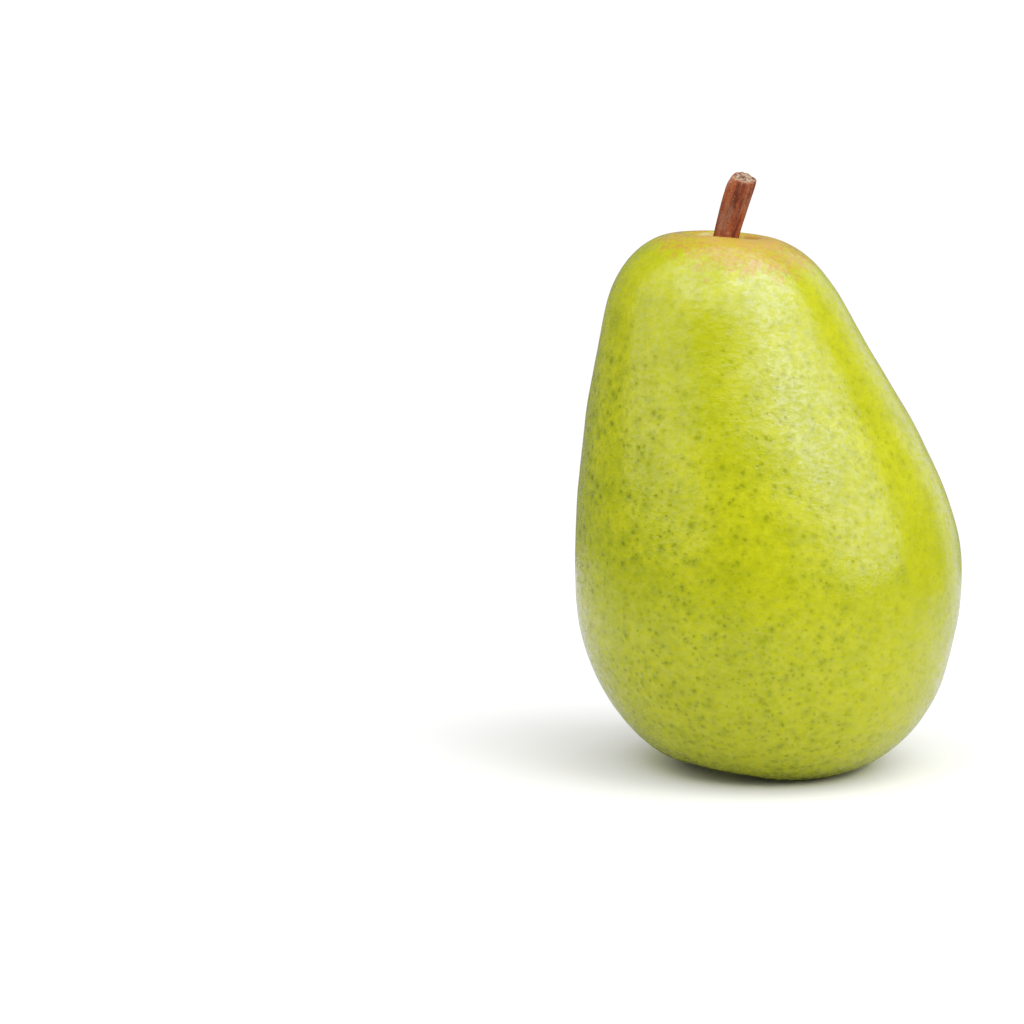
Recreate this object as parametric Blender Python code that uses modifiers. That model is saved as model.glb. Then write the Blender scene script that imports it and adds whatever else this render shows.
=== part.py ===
"""A green pear, as three pieces: the fruit, its woody stem and the dried calyx underneath.

Lengths are in metres and +Z is up. The pear stands on the plane z = 0 with the origin under the
middle of its box. +X is its right side, +Y its back. Angles in the plan run from +X towards +Y.
"""

import math
from collections import namedtuple

import bmesh
import bpy
from mathutils import Vector
from mathutils.geometry import interpolate_bezier

MM = 0.001
GAP = 0.3 * MM  # clearance between pieces that touch on the real pear
WELD = 0.001 * MM  # points closer than this are one

# The fruit, before it is made uneven. Its outline runs from the middle of the stem cavity, over
# the crown and down the flank, to the middle of the calyx basin. Radii, heights and handle
# lengths are in millimetres. A heading of 0 degrees runs outward, -90 down and 180 inward.
# Each landmark ends with the number of steps from it to the next one.
Landmark = namedtuple("Landmark", "radius height heading handle_in handle_out steps")
CAVITY_FLOOR = 96.5
BASIN_FLOOR = 5.4
OUTLINE = (
    Landmark(0.0, CAVITY_FLOOR, 0, 0.0, 1.2, 3),
    Landmark(3.6, CAVITY_FLOOR, 0, 1.2, 1.6, 5),  # edge of the cavity's floor
    Landmark(7.4, 103.0, 0, 2.6, 5.8, 8),  # crown
    Landmark(23.2, 88.5, -70, 10.3, 21.0, 10),  # neck
    Landmark(37.2, 36.5, -90, 19.4, 19.8, 12),  # belly
    Landmark(10.8, -0.35, 180, 15.2, 0.8, 2),  # underside, pressed flat at z = 0 later
    Landmark(8.4, -0.35, 180, 0.8, 2.0, 6),
    Landmark(4.2, BASIN_FLOOR, 180, 2.2, 1.4, 2),  # edge of the basin's floor
    Landmark(0.0, BASIN_FLOOR, 180, 1.4, 0.0, 0),
)
BELLY = OUTLINE[4]
TURNS = 64  # steps round the fruit

# How the fruit departs from a turned shape
DEPTH_RATIO = 0.975  # front to back against side to side
LEAN = -10.1 * MM  # sideways shift of the centre line at the top
LEAN_START = 36.0 * MM
LEAN_END = 106.0 * MM
FOOT = 1.5 * MM  # and the other way at the foot
FOOT_START = 28.0 * MM
BASIN_SHIFT = 1.4 * MM  # the basin sits a little off the centre line
BASIN_REACH = 24.0 * MM
SWELL = 0.4 * MM  # soft unevenness of the flank, three waves round it
SWELL_WAVES = 3
SWELL_TWIST = 20.0  # radians a metre
# Furrows between the lobes underneath: direction in degrees, then depth, width and the radius
# at which each is deepest, in millimetres. The last one is a broad hollow outside the lobes.
Furrow = namedtuple("Furrow", "direction depth width deepest")
FURROWS = (
    Furrow(176.0, 1.3, 2.6, 11.0),
    Furrow(251.0, 1.9, 3.4, 12.5),
    Furrow(318.0, 1.1, 2.2, 11.0),
    Furrow(35.0, 1.4, 2.6, 11.0),
    Furrow(110.0, 1.5, 3.0, 11.0),
    Furrow(223.0, 2.0, 7.5, 16.0),
)
FURROW_REACH = 4.5 * MM
FLAT_EDGE = 0.12 * MM  # how softly the pressed spots start

# The stem, as places on its middle line from the cavity's floor, in millimetres, with its radius
STEM_ROOT = 3.0  # how far it goes down into the fruit
STEM_LINE = (
    ((-0.5, 0.0, -STEM_ROOT), 2.45),
    ((0.0, 0.0, 0.4), 2.45),
    ((0.9, -0.3, 5.5), 2.35),
    ((2.5, -0.8, 12.0), 2.5),
    ((4.3, -1.6, 18.2), 2.75),
    ((4.9, -1.9, 20.0), 2.75),
)
STEM_ROUNDNESS = 3  # gives 10 sides
STEM_STEPS = 5  # between two places
STEM_BREAK = (4.1, -1.5, 17.4)  # middle of the broken end, from the cavity's floor
BREAK_TILT = (math.radians(16.0), math.radians(20.0), 0.0)
CUTTER_SIZE = 12.0 * MM
SOCKET_SIDES = 32
SOCKET_LENGTH = 6.0 * MM  # past the floor, so that its mouth is open

# The calyx: a shallow cup, open downward, whose rim spreads in five dried sepals
CALYX_RADIUS = 3.3 * MM
CALYX_HEIGHT = 1.6 * MM  # between the sepals
CALYX_WALL = 0.6 * MM
CALYX_FLOOR = 0.7 * MM
SEPALS = 5
SEPAL_LENGTH = 1.7 * MM
SEPAL_SPREAD = 2.6 * MM
SEPAL_TURN = math.radians(12.0)
SEPAL_SHARPNESS = 1.5
CALYX_TURNS = 50
WALL_STEPS = 5

# Finishes: linear base colour and roughness
SKIN = ((0.47, 0.53, 0.03), 0.36)
BARK = ((0.24, 0.07, 0.04), 0.75)
DRIED = ((0.07, 0.04, 0.02), 0.9)


def clear_scene():
    for thing in list(bpy.data.objects):
        bpy.data.objects.remove(thing, do_unlink=True)


def new_collection(name):
    collection = bpy.data.collections.new(name)
    bpy.context.scene.collection.children.link(collection)
    return collection


def new_material(name, finish):
    colour, roughness = finish
    material = bpy.data.materials.new(name)
    material.use_nodes = True
    shader = material.node_tree.nodes["Principled BSDF"]
    shader.inputs["Base Color"].default_value = (*colour, 1.0)
    shader.inputs["Roughness"].default_value = roughness
    shader.inputs["Metallic"].default_value = 0.0
    return material


def new_piece(name, mesh, collection, material=None):
    piece = bpy.data.objects.new(name, mesh)
    collection.objects.link(piece)
    if material:
        mesh.materials.append(material)
    return piece


def evaluated_mesh(thing, name):
    """The object's mesh with its modifiers, in world space. The object itself is removed."""
    bpy.context.view_layer.update()
    depsgraph = bpy.context.evaluated_depsgraph_get()
    evaluated = thing.evaluated_get(depsgraph)
    mesh = bpy.data.meshes.new_from_object(evaluated, depsgraph=depsgraph)
    mesh.transform(thing.matrix_world)
    mesh.name = name
    bpy.data.objects.remove(thing, do_unlink=True)
    return mesh


def smooth(t):
    """Rises from 0 to 1 as t does, level at both ends."""
    t = min(max(t, 0.0), 1.0)
    return t * t * (3.0 - 2.0 * t)


def bell(t):
    return math.exp(-t * t)


def turned(name, profile, turns, collection):
    """The mesh that a profile of (radius, height) points sweeps round the Z axis."""
    mesh = bpy.data.meshes.new(name)
    edges = [(i, i + 1) for i in range(len(profile) - 1)]
    mesh.from_pydata([(radius, 0.0, height) for radius, height in profile], edges, [])
    guide = new_piece(name, mesh, collection)
    screw = guide.modifiers.new("turn", "SCREW")
    screw.axis = "Z"
    screw.angle = math.tau
    screw.steps = turns
    screw.render_steps = turns
    screw.use_merge_vertices = True
    screw.merge_threshold = WELD
    return evaluated_mesh(guide, name)


def fruit_profile():
    """The fruit's outline as (radius, height) points, from the cavity down to the basin."""
    points = []
    for start, end in zip(OUTLINE, OUTLINE[1:]):
        knots = [Vector((mark.radius, mark.height)) * MM for mark in (start, end)]
        headings = [math.radians(mark.heading) for mark in (start, end)]
        along = [Vector((math.cos(turn), math.sin(turn))) * MM for turn in headings]
        curve = interpolate_bezier(
            knots[0],
            knots[0] + along[0] * start.handle_out,
            knots[1] - along[1] * end.handle_in,
            knots[1],
            start.steps + 1,
        )
        points += [(point.x, point.y) for point in curve[:-1]]
    points.append((OUTLINE[-1].radius * MM, OUTLINE[-1].height * MM))
    return points


def centre_shift(radius, height):
    """How far the fruit's middle lies to the right of the belly's middle."""
    shift = LEAN * smooth((height - LEAN_START) / (LEAN_END - LEAN_START))
    shift += FOOT * smooth(1.0 - height / FOOT_START)
    if height < BELLY.height * MM:
        shift += BASIN_SHIFT * smooth(1.0 - radius / BASIN_REACH)
    return shift


def furrow_lift(radius, angle):
    """How far the furrows between the lobes lift the underside."""
    lift = 0.0
    for furrow in FURROWS:
        turn = (angle - math.radians(furrow.direction) + math.pi) % math.tau - math.pi
        across = turn * radius / (furrow.width * MM)
        along = (radius - furrow.deepest * MM) / FURROW_REACH
        lift += furrow.depth * MM * bell(across) * bell(along)
    return lift


def pressed(height):
    """The height of the underside once what would be below z = 0 is pressed flat."""
    if height > FLAT_EDGE:
        return height
    return max(height + FLAT_EDGE, 0.0) ** 2 / (4.0 * FLAT_EDGE)


def grown(point):
    """Where a point of the turned shape lies on the uneven fruit."""
    radius = math.hypot(point.x, point.y)
    angle = math.atan2(point.y, point.x)
    height = point.z
    belly = radius / (BELLY.radius * MM)
    out = radius + SWELL * belly * math.sin(SWELL_WAVES * angle + SWELL_TWIST * height)
    if height < BELLY.height * MM:
        height = pressed(height + furrow_lift(radius, angle))
    x = out * math.cos(angle) + centre_shift(radius, point.z)
    y = out * math.sin(angle) * DEPTH_RATIO
    return Vector((x, y, height))


def plan_middle(mesh):
    """The middle of the mesh's box, seen from above."""
    sides = [[vertex.co[axis] for vertex in mesh.vertices] for axis in range(2)]
    return Vector([(min(side) + max(side)) / 2.0 for side in sides])


def make_fruit(collection, cutters):
    """Makes the fruit. Gives how far it was moved to put the origin under its box's middle."""
    mesh = turned("fruit", fruit_profile(), TURNS, collection)
    for vertex in mesh.vertices:
        vertex.co = grown(vertex.co)
    move = -plan_middle(mesh)
    for vertex in mesh.vertices:
        vertex.co.xy += move
    mesh.shade_smooth()
    fruit = new_piece("fruit", mesh, collection, new_material("skin", SKIN))
    cut(fruit, make_socket(on_axis(CAVITY_FLOOR, move), cutters))
    return move


def on_axis(height, move):
    """The place on the fruit's bent centre line at a height in millimetres."""
    return Vector((centre_shift(0.0, height * MM) + move.x, move.y, height * MM))


def cut(piece, cutter):
    """Takes the cutter's volume off the piece."""
    boolean = piece.modifiers.new(cutter.name, "BOOLEAN")
    boolean.operation = "DIFFERENCE"
    boolean.solver = "EXACT"
    boolean.object = cutter


def as_cutter(thing, cutters):
    """Moves an object to the cutters' collection, where it only shapes other pieces."""
    for collection in list(thing.users_collection):
        collection.objects.unlink(thing)
    cutters.objects.link(thing)
    thing.hide_render = True
    thing.display_type = "WIRE"
    return thing


def make_socket(middle, cutters):
    """The hole in the cavity's floor that holds the stem's root, with a gap all round it."""
    root, radius = STEM_LINE[0]
    up = (Vector(STEM_LINE[1][0]) - Vector(root)).normalized()
    bpy.ops.mesh.primitive_cylinder_add(
        vertices=SOCKET_SIDES,
        radius=radius * MM + GAP,
        depth=SOCKET_LENGTH,
        location=middle + Vector(root) * MM + up * (SOCKET_LENGTH / 2.0 - GAP),
        rotation=up.to_track_quat("Z", "Y").to_euler(),
    )
    socket = bpy.context.object
    socket.name = "stem_socket"
    return as_cutter(socket, cutters)


def make_stem(middle, collection, cutters):
    """The stalk: a gently bent tube, thicker where it was joined to the twig, snapped off askew."""
    curve = bpy.data.curves.new("stem", "CURVE")
    curve.dimensions = "3D"
    curve.bevel_depth = MM
    curve.bevel_resolution = STEM_ROUNDNESS
    curve.resolution_u = STEM_STEPS
    curve.use_fill_caps = True
    spline = curve.splines.new("BEZIER")
    spline.bezier_points.add(len(STEM_LINE) - 1)
    for knot, (place, radius) in zip(spline.bezier_points, STEM_LINE):
        knot.co = Vector(place) * MM
        knot.radius = radius
        knot.handle_left_type = "AUTO"
        knot.handle_right_type = "AUTO"
    guide = bpy.data.objects.new("stem", curve)
    collection.objects.link(guide)
    guide.location = middle
    mesh = evaluated_mesh(guide, "stem")
    weld_caps(mesh)
    mesh.shade_smooth()
    stem = new_piece("stem", mesh, collection, new_material("bark", BARK))
    bpy.ops.mesh.primitive_cube_add(size=CUTTER_SIZE, rotation=BREAK_TILT)
    snapped = bpy.context.object
    snapped.name = "stem_break"
    up = snapped.rotation_euler.to_matrix() @ Vector((0.0, 0.0, CUTTER_SIZE / 2.0))
    snapped.location = middle + Vector(STEM_BREAK) * MM + up
    cut(stem, as_cutter(snapped, cutters))


def weld_caps(mesh):
    """Joins a curve's loose end caps to its tube."""
    tube = bmesh.new()
    tube.from_mesh(mesh)
    bmesh.ops.remove_doubles(tube, verts=tube.verts, dist=WELD)
    tube.to_mesh(mesh)
    tube.free()


def make_calyx(middle, collection):
    """The dried crown of sepals that hangs in the basin, a gap below its floor."""
    depths = [CALYX_HEIGHT * step / WALL_STEPS for step in range(WALL_STEPS + 1)]
    inner = CALYX_RADIUS - CALYX_WALL
    profile = [(0.0, 0.0), (CALYX_RADIUS / 2.0, 0.0)]
    profile += [(CALYX_RADIUS, -depth) for depth in depths]
    profile += [(inner, -depth) for depth in reversed(depths) if depth > CALYX_FLOOR]
    profile += [(inner * part, -CALYX_FLOOR) for part in (1.0, 0.5, 0.0)]
    mesh = turned("calyx", profile, CALYX_TURNS, collection)
    for vertex in mesh.vertices:
        vertex.co = sepal_place(vertex.co)
    mesh.shade_smooth()
    calyx = new_piece("calyx", mesh, collection, new_material("dried", DRIED))
    calyx.location = middle - Vector((0.0, 0.0, GAP))


def sepal_place(point):
    """Where a point of the plain cup lies once its rim is drawn out in sepals."""
    radius = math.hypot(point.x, point.y)
    angle = math.atan2(point.y, point.x)
    along = -point.z / CALYX_HEIGHT
    sepal = (0.5 + 0.5 * math.cos(SEPALS * (angle - SEPAL_TURN))) ** SEPAL_SHARPNESS
    out = radius + SEPAL_SPREAD * sepal * smooth(along) * radius / CALYX_RADIUS
    height = point.z - SEPAL_LENGTH * sepal * along ** 2
    return Vector((out * math.cos(angle), out * math.sin(angle), height))


def main():
    clear_scene()
    pear = new_collection("pear")
    cutters = new_collection("cutters")
    move = make_fruit(pear, cutters)
    make_stem(on_axis(CAVITY_FLOOR, move), pear, cutters)
    make_calyx(on_axis(BASIN_FLOOR, move), pear)
    bpy.context.view_layer.update()


main()
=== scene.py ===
"""The looks of a green pear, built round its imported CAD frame: skin, stem and dried calyx.

Lengths are in metres and +Z is up. The pear's front is towards -Y and the camera stands there.
"""

import math
from collections import namedtuple

import bmesh
import bpy
import numpy as np
from mathutils import Matrix, Vector, noise
from mathutils.geometry import interpolate_bezier

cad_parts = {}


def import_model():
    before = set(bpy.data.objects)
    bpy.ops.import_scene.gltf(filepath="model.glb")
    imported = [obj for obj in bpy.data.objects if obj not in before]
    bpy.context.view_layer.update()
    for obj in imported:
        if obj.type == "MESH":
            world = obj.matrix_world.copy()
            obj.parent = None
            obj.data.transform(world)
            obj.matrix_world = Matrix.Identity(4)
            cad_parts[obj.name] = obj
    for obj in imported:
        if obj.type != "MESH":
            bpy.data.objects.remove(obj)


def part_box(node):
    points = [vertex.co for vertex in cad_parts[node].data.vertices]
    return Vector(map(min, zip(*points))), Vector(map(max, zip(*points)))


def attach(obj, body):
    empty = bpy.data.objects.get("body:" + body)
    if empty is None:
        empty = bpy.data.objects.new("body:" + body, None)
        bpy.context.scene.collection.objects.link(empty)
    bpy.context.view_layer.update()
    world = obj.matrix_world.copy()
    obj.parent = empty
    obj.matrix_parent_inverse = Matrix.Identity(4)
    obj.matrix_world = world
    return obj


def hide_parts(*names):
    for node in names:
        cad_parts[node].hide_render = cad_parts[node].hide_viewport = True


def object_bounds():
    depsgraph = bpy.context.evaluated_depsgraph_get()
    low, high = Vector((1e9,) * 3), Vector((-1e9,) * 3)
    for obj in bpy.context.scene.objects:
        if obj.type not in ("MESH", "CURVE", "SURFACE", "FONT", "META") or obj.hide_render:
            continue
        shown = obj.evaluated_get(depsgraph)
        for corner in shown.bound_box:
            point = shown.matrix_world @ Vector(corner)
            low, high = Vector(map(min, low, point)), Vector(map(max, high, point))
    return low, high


MM = 0.001
TAU = math.tau

# ---------------------------------------------------------------------------------------------
# The fruit's shape, as in the CAD: an outline turned round Z and then made uneven. Radii, heights
# and handle lengths of the outline are in millimetres. Headings: 0 outward, -90 down, 180 inward.
Landmark = namedtuple("Landmark", "radius height heading handle_in handle_out")
CAVITY_FLOOR = 96.5
BASIN_FLOOR = 5.4
OUTLINE = (
    Landmark(0.0, CAVITY_FLOOR + 0.9, 0, 0.0, 1.0),  # drawn up round the stem
    Landmark(3.6, CAVITY_FLOOR, 0, 1.2, 1.6),  # edge of the cavity's floor
    Landmark(7.4, 103.0, 0, 2.6, 5.8),  # crown
    Landmark(23.2, 88.5, -70, 10.3, 21.0),  # neck
    Landmark(37.2, 36.5, -90, 19.4, 19.8),  # belly
    Landmark(10.8, -0.35, 180, 15.2, 0.8),  # underside, pressed flat at z = 0 later
    Landmark(8.4, -0.35, 180, 0.8, 2.0),
    Landmark(4.2, BASIN_FLOOR, 180, 2.2, 1.4),  # edge of the basin's floor
    Landmark(0.0, BASIN_FLOOR, 180, 1.4, 0.0),
)
CROWN, NECK, BELLY = OUTLINE[2:5]
AROUND = 320  # quads round the fruit
DOWN = 300  # quads from the stem cavity to the calyx basin
CURVE_STEPS = 80  # points between two landmarks, before they are spaced evenly
POLE = 0.15 * MM  # radius of the small closing disc at each end

DEPTH_RATIO = 0.975  # front to back against side to side
LEAN = -10.1 * MM  # sideways shift of the centre line at the top
LEAN_START = 36.0 * MM
LEAN_END = 106.0 * MM
FOOT = 1.5 * MM  # and the other way at the foot
FOOT_START = 28.0 * MM
BASIN_SHIFT = 1.4 * MM  # the basin sits a little off the centre line
BASIN_REACH = 24.0 * MM
SWELL = 0.4 * MM  # soft unevenness of the flank
SWELL_WAVES = 3
SWELL_TWIST = 20.0  # radians a metre
Furrow = namedtuple("Furrow", "direction depth width deepest")  # degrees, millimetres
FURROWS = (
    Furrow(176.0, 1.3, 2.6, 11.0),
    Furrow(251.0, 1.9, 3.4, 12.5),
    Furrow(318.0, 1.1, 2.2, 11.0),
    Furrow(35.0, 1.4, 2.6, 11.0),
    Furrow(110.0, 1.5, 3.0, 11.0),
    Furrow(223.0, 2.0, 7.5, 16.0),
)
FURROW_REACH = 4.5 * MM
FLAT_EDGE = 0.12 * MM  # how softly the pressed spots start

# Detail that the CAD leaves out
RimDip = namedtuple("RimDip", "direction depth")  # degrees, millimetres
RIM_DIPS = (RimDip(-22.0, 0.85), RimDip(-122.0, -0.6))  # low at the right, high at the front left
RIM_DIP_WIDTH = 6.0 * MM
RIM_WIDENING = 1.2 * MM  # the cavity's rim is pushed out at the right
RIM_WIDTH = 4.0 * MM
RIM_HEIGHT = 10.0 * MM  # from the neck up to where the rim is as uneven as it gets
Wave = namedtuple("Wave", "height count phase")  # one of the sine waves round a circle
PUCKERS = 19  # fine creases that run into the basin
PUCKER_SPACING = (Wave(2.0, 3, 1.0), Wave(1.3, 5, 0.0))  # how uneven it is, in radians
PUCKER_STRENGTH = 0.6
PUCKER_VARIETY = (Wave(0.4, 2, 0.7),)
PUCKER_SHARPNESS = 3.0
PUCKER_DEPTH = 0.22 * MM
PUCKER_RADIUS = 8.0 * MM
PUCKER_REACH = 4.0 * MM
LUMPS = ((17.0 * MM, 0.22 * MM), (6.5 * MM, 0.07 * MM), (2.6 * MM, 0.022 * MM))  # size, height
CALM_HEIGHT = 1.5 * MM  # no lumps on the resting plane, and full ones from here up

# ---------------------------------------------------------------------------------------------
# The stem: places on its middle line from the cavity's floor, in millimetres, and its radius
STEM_LINE = (
    ((-0.9, 0.0, -3.0), 3.0),
    ((0.0, 0.0, 0.4), 2.75),
    ((0.9, -0.3, 5.5), 2.42),
    ((2.5, -0.8, 12.0), 2.5),
    ((4.1, -1.5, 17.4), 2.70),
    ((4.9, -1.9, 20.0), 2.7),
)
STEM_LENGTH = (STEM_LINE[-1][0][2] - STEM_LINE[0][0][2]) * MM
STEM_END_RADIUS = STEM_LINE[-1][1] * MM
STEM_AROUND = 120  # quads round the stem
STEM_ALONG = 150  # and up it, as far as the edge of the broken end
STEM_END_RINGS = 14  # from the edge of the broken end to its middle
LINE_STEP = 0.01  # share of the line over which its direction is measured

# Ribs that run up the stem, and its finer unevenness, both as shares of its radius
Rib = namedtuple("Rib", "height count phase twist")
RIBS = (Rib(0.045, 3, 1.1, 0.8), Rib(0.025, 5, 2.0, 0.0))
Knob = namedtuple("Knob", "height fine_round fine_along seed")
KNOBS = (
    Knob(0.07, 3.2, 2.0, (0.0, 0.0)),
    Knob(0.03, 9.0, 5.0, (4.0, 0.0)),
    Knob(0.05, 1.5, 6.0, (0.0, 7.0)),
)

# The stem's broken end. Heights on it are in units of its roughness.
STEM_LENGTH_USED = 0.803  # share of the line at which the stem is broken off
BREAK_LEAN = (-0.04, -0.24)  # slope of the broken end along X and Y
BREAK_ROUGHNESS = 0.15 * MM
BREAK_JAGS = 4.0  # fineness of the jags along its edge
JAG_SEED = 0.3
SHOULDER_START = 0.86  # the bark rounds off towards the break, most at the left
SHOULDER = (0.19, 0.13)  # all round, and more of it at the left
SHOULDER_END = 1.2  # past the edge it levels off
FIBRE_HEIGHT = 1.5
FIBRE_FINENESS = 7.2
FIBRE_SEED = Vector((2.0, 5.0, 1.0))
PITH_DEPTH = 1.4
PITH_WIDTH = 0.28  # of the end's radius
EDGE_HEIGHT = 0.9
EDGE_WIDTH = 0.22
END_SINK = 0.4
TORN_START = 0.8  # rings past the edge at which bark gives way to torn wood
TORN_BLEND = 1.5

# The calyx
CALYX_RADIUS = 3.1 * MM
CALYX_DROP = 0.9 * MM  # from the basin's floor to the roots of the sepals
SEPALS = 5
SEPAL_LENGTH = 4.2 * MM
SEPAL_WIDTH = 2.5 * MM
SEPAL_DROP = 1.9 * MM
SEPAL_CURL = 0.9 * MM
SEPAL_TURN = math.radians(12.0)
SEPAL_THICKNESS = 0.22 * MM
SEPAL_FOLD = 0.45 * MM  # its edges stand up
SEPAL_RIPPLE = 0.12 * MM
SEPAL_ROWS = 16
SEPAL_COLUMNS = 9
SEPAL_UNLIKENESS = (0.15, 0.12)  # in length, as a share, and in direction, in radians
RING_RADIUS = CALYX_RADIUS - 0.4 * MM
RING_SIZE = (0.45 * MM, 0.8 * MM, 0.6 * MM)  # half its width, half its height, its drop
RING_WAVES = (Wave(0.06, 5, 1.0), Wave(0.05, 13, 0.0))
RING_AROUND = 60
RING_SECTION = 12
STAMENS = 17
STAMEN_RADIUS = 0.11 * MM
STAMEN_LENGTH = 2.3 * MM
STAMEN_ROOT = (0.72, 0.3 * MM)  # share of the calyx's radius, and drop
STAMEN_TIP = 1.9  # its radius against the root's

# ---------------------------------------------------------------------------------------------
# Camera: it aims left of the pear, which stands right of the middle of the picture
AIM = Vector((-49.3, 0.0, 49.6)) * MM
CAMERA_DISTANCE = 0.80
CAMERA_ELEVATION = math.radians(9.7)
SENSOR = 24.0
LENS = 97.8

# Studio light: how light is shown, then the world, the backdrop, the floor and the lamps
WHITE = 1.3  # the amount of light that is shown as white
TONE = ((0.05, 0.024), (0.15, 0.108), (0.5, 0.47), (0.95, 0.77))  # other amounts of light, shown
WORLD_LIGHT = 0.32
BACKDROP = 1.4
FLOOR_BOUNCE = 0.55  # how much of its light the floor gives back to the pear
FLOOR_SEEN = 0.92  # and to the camera
FLOOR_RADIUS = 0.22
FLOOR_SIDES = 96
OVERHEAD_LIGHT = 2.6
OVERHEAD_SPREAD = math.radians(85.0)
OVERHEAD_PLACE = (30.0, 72.0)  # azimuth and elevation in degrees
SOFTBOX_DISTANCE = 1.0
Softbox = namedtuple("Softbox", "name azimuth elevation width height radiance")
SOFTBOXES = (
    Softbox("key", 64.0, 36.0, 0.88, 1.55, 2.45),
    Softbox("wing", 28.0, 36.0, 0.48, 1.50, 0.8),
    Softbox("fill", -68.0, 34.0, 1.3, 1.3, 1.25),
    Softbox("rim", 138.0, 16.0, 0.5, 1.1, 0.6),
)


# ---------------------------------------------------------------------------------------------
# Shape helpers


def smooth(t):
    """Rises from 0 to 1 as t does, level at both ends."""
    t = np.clip(t, 0.0, 1.0)
    return t * t * (3.0 - 2.0 * t)


def bell(t):
    return np.exp(-np.square(t))


def waves(angle, parts):
    """The sum of a few sine waves round a circle."""
    return sum(part.height * np.sin(part.count * angle + part.phase) for part in parts)


def turn_between(angle, direction):
    """The signed turn from a direction to an angle, in radians."""
    return (angle - direction + math.pi) % TAU - math.pi


def grid_mesh(name, places, closed=True):
    """A tube of quads from an array of rings, [ring, place round it, xyz]. Its ends are closed."""
    rings, around = places.shape[:2]
    index = np.arange(rings * around).reshape(rings, around)
    after = np.roll(index, -1, axis=1)
    quads = np.stack([index[:-1], index[1:], after[1:], after[:-1]], axis=-1).reshape(-1, 4)
    faces = quads.tolist()
    if closed:
        faces += [index[0].tolist(), index[-1][::-1].tolist()]
    mesh = bpy.data.meshes.new(name)
    mesh.from_pydata(places.reshape(-1, 3).tolist(), [], faces)
    return mesh


def add_piece(name, mesh, material):
    mesh.materials.append(material)
    mesh.shade_smooth()
    piece = bpy.data.objects.new(name, mesh)
    bpy.context.scene.collection.objects.link(piece)
    return piece


def face_outward(mesh, weld=0.0):
    """Turns the faces outward, once points closer than the weld distance are made one."""
    shape = bmesh.new()
    shape.from_mesh(mesh)
    if weld:
        bmesh.ops.remove_doubles(shape, verts=shape.verts, dist=weld)
    bmesh.ops.recalc_face_normals(shape, faces=shape.faces)
    shape.to_mesh(mesh)
    shape.free()


def store(mesh, name, values):
    """Keeps one number or one vector for each vertex, for the material to read."""
    values = np.asarray(values, dtype=np.float32)
    kind = "FLOAT_VECTOR" if values.ndim > 1 else "FLOAT"
    attribute = mesh.attributes.new(name, kind, "POINT")
    attribute.data.foreach_set("vector" if values.ndim > 1 else "value", values.ravel())


# ---------------------------------------------------------------------------------------------
# The fruit


def outline():
    """Evenly spaced (radius, height) points down the fruit's outline."""
    points = []
    for start, end in zip(OUTLINE, OUTLINE[1:]):
        knots = [Vector((mark.radius, mark.height)) * MM for mark in (start, end)]
        headings = [math.radians(mark.heading) for mark in (start, end)]
        along = [Vector((math.cos(turn), math.sin(turn))) * MM for turn in headings]
        points += interpolate_bezier(
            knots[0],
            knots[0] + along[0] * start.handle_out,
            knots[1] - along[1] * end.handle_in,
            knots[1],
            CURVE_STEPS,
        )[:-1]
    points = np.array([point[:2] for point in points] + [(0.0, OUTLINE[-1].height * MM)])
    length = np.concatenate([[0.0], np.cumsum(np.hypot(*np.diff(points, axis=0).T))])
    steps = np.linspace(0.0, length[-1], DOWN + 1)
    radius = np.maximum(np.interp(steps, length, points[:, 0]), POLE)
    return radius, np.interp(steps, length, points[:, 1])


def centre_shift(radius, height):
    """How far the fruit's middle lies to the right of the belly's middle."""
    shift = LEAN * smooth((height - LEAN_START) / (LEAN_END - LEAN_START))
    shift = shift + FOOT * smooth(1.0 - height / FOOT_START)
    low = height < BELLY.height * MM
    return shift + low * BASIN_SHIFT * smooth(1.0 - radius / BASIN_REACH)


def furrow_lift(radius, angle):
    """How far the furrows between the lobes lift the underside."""
    lift = 0.0
    for furrow in FURROWS:
        across = turn_between(angle, math.radians(furrow.direction)) * radius
        along = (radius - furrow.deepest * MM) / FURROW_REACH
        lift = lift + furrow.depth * MM * bell(across / (furrow.width * MM)) * bell(along)
    return lift


def puckers(radius, angle):
    """Fine creases round the basin, unevenly spaced and unequal."""
    uneven = angle * PUCKERS + waves(angle, PUCKER_SPACING)
    crease = np.power(0.5 + 0.5 * np.cos(uneven), PUCKER_SHARPNESS)
    strength = PUCKER_STRENGTH + waves(angle, PUCKER_VARIETY)
    return PUCKER_DEPTH * crease * strength * bell((radius - PUCKER_RADIUS) / PUCKER_REACH)


def pressed(height):
    """The underside's height once what would be below z = 0 is pressed flat."""
    edge = np.square(np.maximum(height + FLAT_EDGE, 0.0)) / (4.0 * FLAT_EDGE)
    return np.where(height > FLAT_EDGE, height, edge)


def near_rim(radius, height, width):
    """1 on the stem cavity's rim, and 0 down at the neck and a few widths away from the rim."""
    above_neck = smooth((height - NECK.height * MM) / RIM_HEIGHT)
    return above_neck * bell((radius - CROWN.radius * MM) / width)


def rim_dip(radius, height, angle):
    """How much lower the cavity's rim is than on the turned shape."""
    dip = 0.0
    for part in RIM_DIPS:
        facing = 0.5 + 0.5 * np.cos(angle - math.radians(part.direction))
        dip = dip + part.depth * MM * np.square(facing)
    return dip * near_rim(radius, height, RIM_DIP_WIDTH)


def rim_widening(radius, height, angle):
    """How far the cavity's rim is pushed to the right."""
    facing = 0.5 + 0.5 * np.cos(angle)
    return RIM_WIDENING * near_rim(radius, height, RIM_WIDTH) * facing


def lumps(places):
    """Soft unevenness of the skin at each place, in metres."""
    heights = np.zeros(len(places))
    for size, height in LUMPS:
        heights += [height * noise.noise(Vector(place) / size) for place in places]
    return heights


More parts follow.
